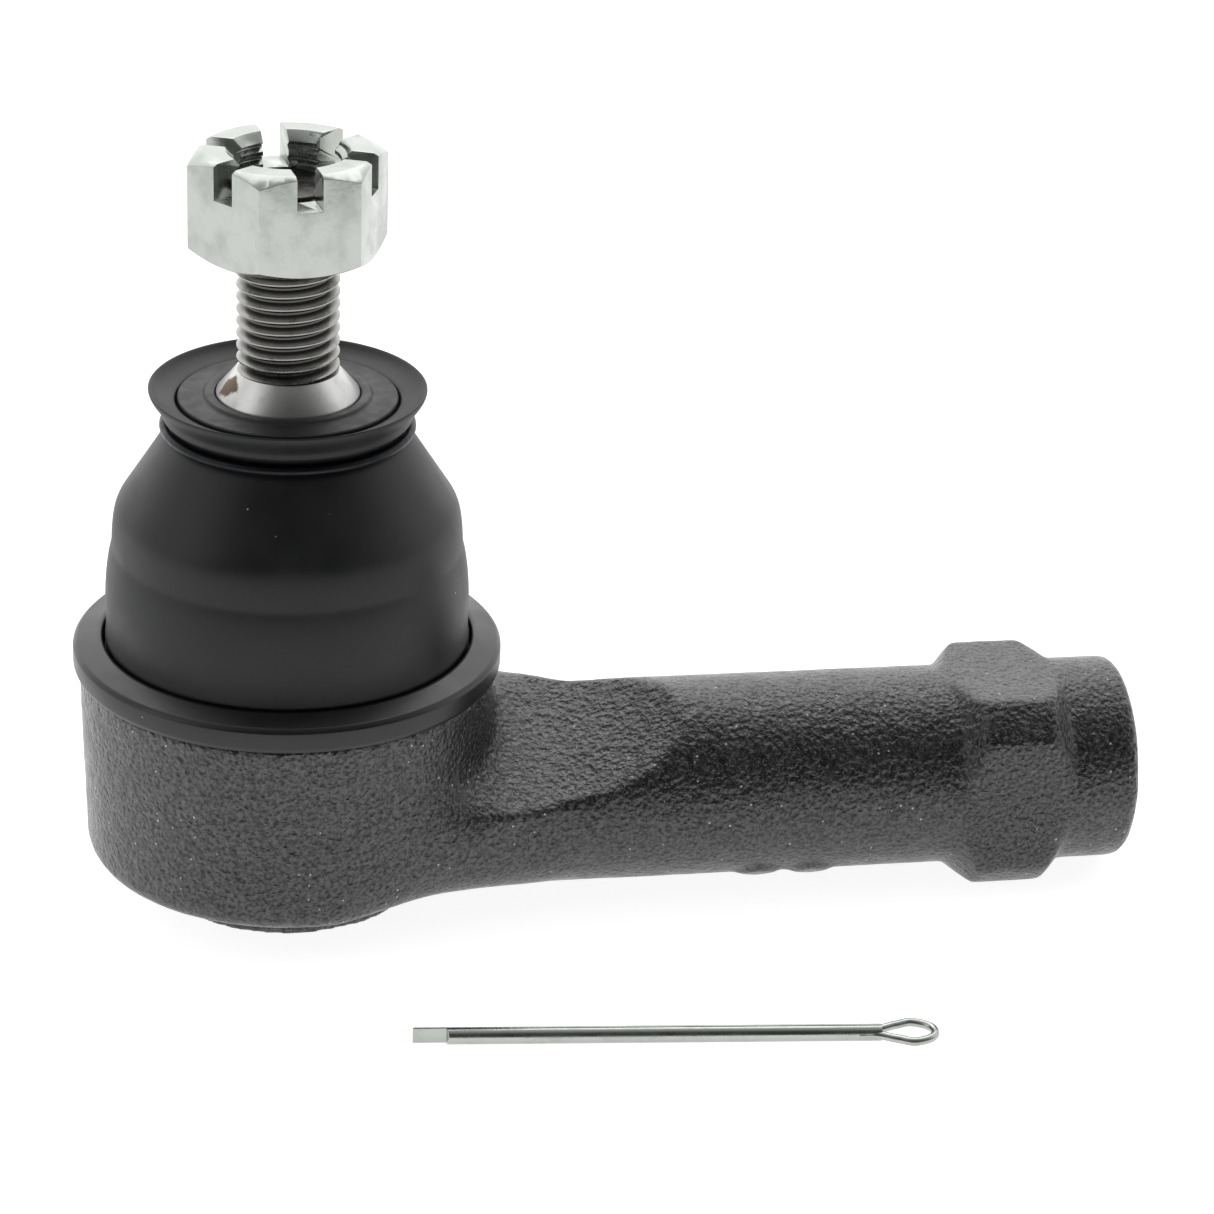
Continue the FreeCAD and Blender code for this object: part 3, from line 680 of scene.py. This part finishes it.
class TIEROD_OT_dust_boot(bpy.types.Operator):
    """Rubber dust boot turned from its outline"""
    bl_idname = "tie_rod.dust_boot"
    bl_label = "Dust boot"

    def execute(self, context):
        _, colours = settings(context)
        foot = low("dust_boot").z
        outer = [(15.4, foot + 0.5), (16.8, foot + 0.25), (17.35, foot + 0.06), (17.8, foot + 0.35),
                 (18.1, foot + 0.9), (FOOT_R, 27.2), (17.95, 27.9), (18.0, 29.5), (18.03, 31.5),
                 (17.93, 33.6), (17.65, 35.7),
                 (17.42, 36.6), (17.34, 36.9), (17.3, 37.2), (17.28, 38.2), (17.16, 39.6),
                 (16.95, 40.7), (16.6, 41.5), (16.15, 42.15), (14.9, 44.1), (13.4, 46.4),
                 (12.4, 48.0), (12.05, 48.5), (11.62, 48.85), (11.52, 49.1), (11.52, 49.8),
                 (11.65, 50.05), (12.15, 50.5), (12.3, 50.75), (12.3, 51.1), (12.5, 51.5),
                 (13.1, 52.25), (13.42, 52.75), (13.58, 53.2), (13.5, 53.38), (13.3, 53.3)]
        inner = [(12.9, 52.9), (12.0, 52.45), (11.2, 52.3), (10.9, 52.15), (10.86, 51.8),
                 (10.86, 50), (10.86, 47.6), (11.5, 46.4), (14.2, 41.9), (14.9, 40.4), (15.9, 37.5),
                 (16.3, 33), (16.1, 30), (15.6, 28.6), (15.1, 27.9), (15.0, 26.9)]
        boot = new_object("boot_rubber", turned(outer + inner, 96))
        rounding = boot.modifiers.new("Subdivision", "SUBSURF")
        rounding.levels = rounding.render_levels = 1
        apply_modifiers(boot)
        finish_piece(boot, boot_rubber(colours), None, ["dust_boot"], 60)
        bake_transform(boot)
        return {"FINISHED"}


class TIEROD_OT_boot_ring(bpy.types.Operator):
    """Rubber-skinned steel ring that holds the boot's foot"""
    bl_idname = "tie_rod.boot_ring"
    bl_label = "Boot ring"

    def execute(self, context):
        _, colours = settings(context)
        bottom, top = low("boot_ring").z, high("boot_ring").z
        bm = turned([(16.0, bottom), (21.0, bottom), (21.28, bottom + 0.5), (21.28, top - 1.1),
                     (20.9, top - 0.7), (19.3, top - 0.3), (18.75, top - 0.05), (18.4, top - 0.1),
                     (FOOT_R + 0.1, top - 0.5), (FOOT_R + 0.1, bottom + 1.7),
                     (16.0, bottom + 1.7)], 160)
        soften(bm, 0.12, 18, 2)
        finish_piece(new_object("ring_rubber", bm), ring_rubber(colours), "housing",
                     ["boot_ring"], 50)
        return {"FINISHED"}


class TIEROD_OT_seal_ring(bpy.types.Operator):
    """Seal ring in the boot's neck, with its collar round the stud"""
    bl_idname = "tie_rod.seal_ring"
    bl_label = "Seal ring"

    def execute(self, context):
        _, colours = settings(context)
        bottom, top = low("seal_ring").z, high("seal_ring").z
        face = top - 0.4
        bm = turned([(7.4, bottom), (10.75, bottom), (10.75, face - 0.15), (10.6, face),
                     (8.5, face), (8.25, face + 0.1), (8.05, top - 0.05), (7.85, top), (7.4, top),
                     (SEAL_BORE_R, top - 0.12), (SEAL_BORE_R, top - 0.6)], 128)
        soften(bm, 0.08, 25, 2)
        finish_piece(new_object("seal_rubber", bm), seal_rubber(colours), "boot_neck",
                     ["seal_ring"], 50)
        return {"FINISHED"}


class TIEROD_OT_castle_nut(bpy.types.Operator):
    """Slotted nut with rounded edges and an M10 thread"""
    bl_idname = "tie_rod.castle_nut"
    bl_label = "Slotted nut"

    def execute(self, context):
        sizes, colours = settings(context)
        bm = merged_copy("castle_nut")
        bmesh.ops.dissolve_limit(bm, angle_limit=math.radians(1), verts=bm.verts, edges=bm.edges)
        soften(bm, sizes.nut_edge / MM, 28, 2)
        nut = new_object("nut_plated", bm)
        bottom, top = low("castle_nut").z, high("castle_nut").z
        tap = screw(5.62, 4.95, sizes.stud_pitch / MM, bottom - 1, top + 1, 0)
        cut_away(nut, new_object("tap", tap))
        finish_piece(nut, zinc_plate(colours, "bright_zinc_plate"), "nut",
                     ["castle_nut"], 32)
        return {"FINISHED"}


class TIEROD_OT_split_pin(bpy.types.Operator):
    """Split pin with half-round legs and a bent eye, lying flat"""
    bl_idname = "tie_rod.split_pin"
    bl_label = "Split pin"

    def execute(self, context):
        sizes, colours = settings(context)
        place = (Matrix.Translation(Vector(PIN_PLACE) * MM)
                 @ Matrix.Rotation(math.radians(PIN_TURN), 4, "Z"))
        bm = bmesh.new()
        for side, reach in PIN_LEG_REACHES:
            self.leg(bm, side, reach)
        bmesh.ops.transform(bm, matrix=place, verts=bm.verts)
        legs = new_object("pin_legs", bm)
        eye = self.eye(sizes.wire, place)
        zinc = zinc_plate(colours, "zinc_plated_wire", 0.3)
        finish_piece(legs, zinc, "split_pin", ["cotter_pin"], 40)
        finish_piece(eye, zinc, "split_pin", (), 60)
        return {"FINISHED"}

    def leg(self, bm, side, reach):
        """Half-round leg along -X with rounded edges and a slanted tip."""
        part = bmesh.new()
        bmesh.ops.create_cone(part, cap_ends=True, segments=36,
                              radius1=PIN_LEG_R * MM, radius2=PIN_LEG_R * MM,
                              depth=(reach + 4) * MM)
        along = (Matrix.Translation((-(reach + 4) / 2 * MM, 0, 0))
                 @ Matrix.Rotation(math.pi / 2, 4, "Y"))
        bmesh.ops.transform(part, matrix=along, verts=part.verts)
        cuts = (((0, side * 0.06 * MM, 0), (0, -side, 0)),
                ((-reach * MM, 0, 0), (-1, side * 0.35, 0)))
        for point, normal in cuts:
            bmesh.ops.bisect_plane(part, geom=part.verts[:] + part.edges[:] + part.faces[:],
                                   dist=1e-8, plane_co=point, plane_no=normal, clear_outer=True)
            bmesh.ops.holes_fill(part, edges=[e for e in part.edges if e.is_boundary], sides=0)
        bmesh.ops.recalc_face_normals(part, faces=part.faces)
        soften(part, 0.09, 30, 2)
        mesh = bpy.data.meshes.new("leg")
        part.to_mesh(mesh)
        part.free()
        bm.from_mesh(mesh)
        bpy.data.meshes.remove(mesh)

    def eye(self, wire_r, place):
        """Wire loop from one leg round to the other."""
        curve = bpy.data.curves.new("pin_eye_line", "CURVE")
        curve.dimensions = "3D"
        curve.bevel_depth = wire_r
        curve.bevel_resolution = 6
        curve.use_fill_caps = True
        half = ((-2.2, 0.44), (-0.5, 0.5), (1.5, 1.3), (3.3, 1.76))
        points = list(half) + [(5.18, 0)] + [(x, -y) for x, y in reversed(half)]
        line = curve.splines.new("BEZIER")
        line.bezier_points.add(len(points) - 1)
        line.resolution_u = 14
        for knot, (x, y) in zip(line.bezier_points, points):
            knot.co = Vector((x, y, 0)) * MM
            knot.handle_left_type = knot.handle_right_type = "AUTO"
        source = bpy.data.objects.new("pin_eye_line", curve)
        shown = bpy.context.scene.collection.objects
        shown.link(source)
        graph = bpy.context.evaluated_depsgraph_get()
        graph.update()
        mesh = bpy.data.meshes.new_from_object(source.evaluated_get(graph))
        bpy.data.objects.remove(source)
        mesh.transform(place)
        eye = bpy.data.objects.new("pin_eye", mesh)
        shown.link(eye)
        return eye


class TIEROD_OT_inner_parts(bpy.types.Operator):
    """Finishes of the clip, bearings, spring and cover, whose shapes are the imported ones"""
    bl_idname = "tie_rod.inner_parts"
    bl_label = "Clip, bearings, spring and cover"

    def execute(self, context):
        _, colours = settings(context)
        bearing = acetal(colours)
        finishes = {
            "upper_seat": bearing,
            "lower_seat": bearing,
            "preload_spring": spring_steel("tempered_spring", colours.spring),
            "boot_clip": spring_steel("blackened_wire", colours.wire),
            "end_cover": paint_of(context),
        }
        for node, material in finishes.items():
            data = frame["nodes"][node].data
            data.materials.clear()
            data.materials.append(material)
        return {"FINISHED"}


class TIEROD_OT_stage(bpy.types.Operator):
    """White floor, soft light from above and behind, and the camera"""
    bl_idname = "tie_rod.stage"
    bl_label = "Stage"

    def execute(self, context):
        _, colours = settings(context)
        self.floor(colours)
        self.light("overhead", (0.1, 0.75, 1.25), (0.03, 0, 0.02), 1.6, 1.1, 7)
        self.light("left_box", (-1.3, -0.25, 0.75), (0.03, 0, 0.02), 0.8, 1.0, 2.2)
        self.light("right_box", (1.5, 0.1, 0.7), (0.03, 0, 0.02), 0.7, 1.0, 2.0)
        self.sky(context.scene)
        self.camera(context.scene)
        context.scene.view_settings.view_transform = "Standard"
        return {"FINISHED"}

    def floor(self, colours):
        """Wide matt white sheet."""
        bm = bmesh.new()
        bmesh.ops.create_grid(bm, x_segments=1, y_segments=1, size=4)
        floor = new_object("studio_floor", bm)
        material, tree, surface, place = new_material("lit_paper",
                                                      [c * 0.5 for c in colours.floor], 0.8)
        surface["Emission Color"].default_value = (*colours.floor, 1)
        surface["Emission Strength"].default_value = 1.0
        fine_grain(tree, surface, place, 1.2, 0.01, 0.2)
        floor.data.materials.append(material)

    def light(self, name, at, aim, width, height, watts):
        """Rectangular soft light turned to a point."""
        data = bpy.data.lights.new(name, "AREA")
        data.shape = "RECTANGLE"
        data.size, data.size_y, data.energy = width, height, watts
        obj = bpy.data.objects.new(name, data)
        obj.location = at
        obj.rotation_mode = "QUATERNION"
        obj.rotation_quaternion = (Vector(aim) - Vector(at)).to_track_quat("-Z", "Y")
        bpy.context.scene.collection.objects.link(obj)

    def sky(self, scene):
        """Room light: bright low behind the part, softer overhead, dark on the near side."""
        world = bpy.data.worlds.new("room")
        world.use_nodes = True
        scene.world = world
        tree = world.node_tree
        direction = tree.nodes.new("ShaderNodeTexCoord").outputs["Generated"]
        away = add_node(tree, "ShaderNodeSeparateXYZ", {0: direction}, "Y")
        above = add_node(tree, "ShaderNodeMapRange", (away, -0.75, -0.05, 0.05, 0.5), **SMOOTHLY)
        behind = add_node(tree, "ShaderNodeMapRange", (away, 0.1, 0.85, 0, 1.0), **SMOOTHLY)
        both = add_node(tree, "ShaderNodeMath", {0: above, 1: behind}, operation="ADD")
        tree.links.new(both, tree.nodes["Background"].inputs["Strength"])
        tree.nodes["Background"].inputs["Color"].default_value = (1, 1, 1, 1)

    def camera(self, scene):
        """Long lens, looking down on the part from in front."""
        data = bpy.data.cameras.new("camera")
        data.sensor_width = 36
        data.lens = 118.6
        data.clip_start, data.clip_end = 0.01, 20
        obj = bpy.data.objects.new("camera", data)
        down, aside, roll = (math.radians(a) for a in (24.9, 10.52, 2.22))
        look = Vector((math.sin(aside) * math.cos(down), math.cos(aside) * math.cos(down),
                       -math.sin(down)))
        turn = look.to_track_quat("-Z", "Y").to_matrix().to_4x4()
        obj.matrix_world = (Matrix.Translation((-0.0346, -0.36024, 0.19838)) @ turn
                            @ Matrix.Rotation(roll, 4, "Z"))
        scene.collection.objects.link(obj)
        scene.camera = obj


class TIEROD_PT_panel(bpy.types.Panel):
    """Steps that build the part, with its sizes and colours"""
    bl_idname = "TIEROD_PT_panel"
    bl_label = "Tie rod end"
    bl_space_type = "VIEW_3D"
    bl_region_type = "UI"
    bl_category = "Tie rod end"

    def draw(self, context):
        for step in STEPS:
            self.layout.operator(step.bl_idname)
        for group in settings(context):
            box = self.layout.box()
            for name in group.__annotations__:
                box.prop(group, name)


STEPS = (TIEROD_OT_stage, TIEROD_OT_housing, TIEROD_OT_ball_stud, TIEROD_OT_boot_ring,
         TIEROD_OT_dust_boot, TIEROD_OT_seal_ring, TIEROD_OT_castle_nut, TIEROD_OT_split_pin,
         TIEROD_OT_inner_parts)
CLASSES = (TieRodSizes, TieRodColours, *STEPS, TIEROD_PT_panel)


def register():
    for cls in CLASSES:
        bpy.utils.register_class(cls)
    bpy.types.Scene.tie_rod_sizes = bpy.props.PointerProperty(type=TieRodSizes)
    bpy.types.Scene.tie_rod_colours = bpy.props.PointerProperty(type=TieRodColours)


def unregister():
    del bpy.types.Scene.tie_rod_colours
    del bpy.types.Scene.tie_rod_sizes
    for cls in reversed(CLASSES):
        bpy.utils.unregister_class(cls)


def main():
    """Builds every piece in order."""
    register()
    bpy.ops.tie_rod.stage()
    bpy.ops.tie_rod.housing()
    bpy.ops.tie_rod.ball_stud()
    bpy.ops.tie_rod.boot_ring()
    bpy.ops.tie_rod.dust_boot()
    bpy.ops.tie_rod.seal_ring()
    bpy.ops.tie_rod.castle_nut()
    bpy.ops.tie_rod.split_pin()
    bpy.ops.tie_rod.inner_parts()
    bpy.context.view_layer.update()


if __name__ == "__main__":
    main()
